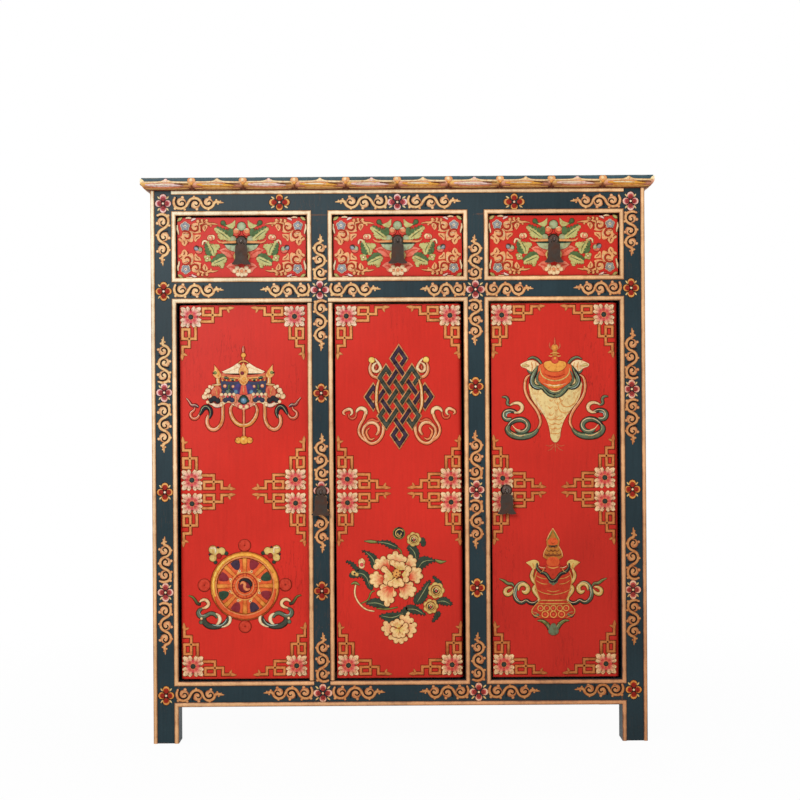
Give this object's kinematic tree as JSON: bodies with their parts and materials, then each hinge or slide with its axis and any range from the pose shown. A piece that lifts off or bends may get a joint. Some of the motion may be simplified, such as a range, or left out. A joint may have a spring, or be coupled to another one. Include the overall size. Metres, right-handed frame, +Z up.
{
  "type": "sideboard",
  "caption": "Painted wooden sideboard with drawers over hinged doors, drop pulls, gilt beads round every opening and a carved petal edge under the top.",
  "frame": {"origin": "on the floor at the centre of the plan", "axes": "+Z up, the front with the drawers and doors looks along -Y, +X to the right of someone who looks at the front"},
  "size_m": [0.995, 0.42, 1.0985],
  "materials": {
    "frame_paint": "dark blue-green paint on wood, satin, worn at the edges",
    "gilt_paint": "warm yellow-gold paint on wood, rubbed",
    "petal_paint": "carved wood painted ochre, pink and yellow",
    "red_paint": "vermilion paint on boards, satin",
    "bare_wood": "bare softwood, dulled by age",
    "dark_iron": "dark wrought iron, polished by hands"
  },
  "bodies": {
    "carcass": {"post_front_left": "frame_paint", "post_front_right": "frame_paint", "post_back_left": "frame_paint", "post_back_right": "frame_paint", "top_rail": "frame_paint", "middle_rail": "frame_paint", "bottom_rail": "frame_paint", "drawer_stiles": "frame_paint", "door_stile": "frame_paint", "side_rails_left": "frame_paint", "side_rails_right": "frame_paint", "side_panel_left": "frame_paint", "side_panel_right": "frame_paint", "back_rails": "bare_wood", "back_boards": "bare_wood", "floor_board": "bare_wood", "shelf_board": "bare_wood", "shelf_battens": "bare_wood", "drawer_runners": "bare_wood", "drawer_guides": "bare_wood", "drawer_kickers": "bare_wood", "door_stops": "bare_wood", "top_board": "frame_paint", "top_edge_moulding": "petal_paint", "drawer_beads": "gilt_paint", "door_beads": "gilt_paint", "base_beads": "gilt_paint", "cap_bead": "gilt_paint", "corner_beads": "gilt_paint"},
    "drawer_left": {"drawer_left_front": "red_paint", "drawer_left_sides": "bare_wood", "drawer_left_bottom": "bare_wood", "drawer_left_pull_boss": "dark_iron"},
    "drawer_middle": {"drawer_middle_front": "red_paint", "drawer_middle_sides": "bare_wood", "drawer_middle_bottom": "bare_wood", "drawer_middle_pull_boss": "dark_iron"},
    "drawer_right": {"drawer_right_front": "red_paint", "drawer_right_sides": "bare_wood", "drawer_right_bottom": "bare_wood", "drawer_right_pull_boss": "dark_iron"},
    "door_left": {"door_left_leaf": "red_paint", "door_left_battens": "bare_wood", "door_left_meeting_stile": "frame_paint", "door_left_meeting_beads": "gilt_paint", "door_left_pull_boss": "dark_iron"},
    "door_middle": {"door_middle_leaf": "red_paint", "door_middle_battens": "bare_wood"},
    "door_right": {"door_right_leaf": "red_paint", "door_right_battens": "bare_wood", "door_right_pull_boss": "dark_iron"},
    "drawer_left_pull": {"drawer_left_pull_plate": "dark_iron"},
    "drawer_middle_pull": {"drawer_middle_pull_plate": "dark_iron"},
    "drawer_right_pull": {"drawer_right_pull_plate": "dark_iron"},
    "door_left_pull": {"door_left_pull_plate": "dark_iron"},
    "door_right_pull": {"door_right_pull_plate": "dark_iron"}
  },
  "joints": [
    {"name": "drawer_left_slide", "type": "slide", "parent": "carcass", "child": "drawer_left", "axis": [0, -1, 0], "range_m": [0, 0.29]},
    {"name": "drawer_middle_slide", "type": "slide", "parent": "carcass", "child": "drawer_middle", "axis": [0, -1, 0], "range_m": [0, 0.29]},
    {"name": "drawer_right_slide", "type": "slide", "parent": "carcass", "child": "drawer_right", "axis": [0, -1, 0], "range_m": [0, 0.29]},
    {"name": "door_left_swing", "type": "hinge", "parent": "carcass", "child": "door_left", "pos_m": [-0.418, -0.176, 0.12], "axis": [0, 0, -1], "range_deg": [0, 100]},
    {"name": "door_middle_swing", "type": "hinge", "parent": "carcass", "child": "door_middle", "pos_m": [0.114, -0.176, 0.12], "axis": [0, 0, 1], "range_deg": [0, 100]},
    {"name": "door_right_swing", "type": "hinge", "parent": "carcass", "child": "door_right", "pos_m": [0.418, -0.176, 0.12], "axis": [0, 0, 1], "range_deg": [0, 100]},
    {"name": "drawer_left_pull_swing", "type": "hinge", "parent": "drawer_left", "child": "drawer_left_pull", "pos_m": [-0.304, -0.1969, 0.97625], "axis": [-1, 0, 0], "range_deg": [-8, 85]},
    {"name": "drawer_middle_pull_swing", "type": "hinge", "parent": "drawer_middle", "child": "drawer_middle_pull", "pos_m": [0, -0.1969, 0.97625], "axis": [-1, 0, 0], "range_deg": [-8, 85]},
    {"name": "drawer_right_pull_swing", "type": "hinge", "parent": "drawer_right", "child": "drawer_right_pull", "pos_m": [0.304, -0.1969, 0.97625], "axis": [-1, 0, 0], "range_deg": [-8, 85]},
    {"name": "door_left_pull_swing", "type": "hinge", "parent": "door_left", "child": "door_left_pull", "pos_m": [-0.152, -0.2009, 0.488], "axis": [-1, 0, 0], "range_deg": [-8, 85]},
    {"name": "door_right_pull_swing", "type": "hinge", "parent": "door_right", "child": "door_right_pull", "pos_m": [0.209, -0.1959, 0.488], "axis": [-1, 0, 0], "range_deg": [-8, 85]}
  ]
}
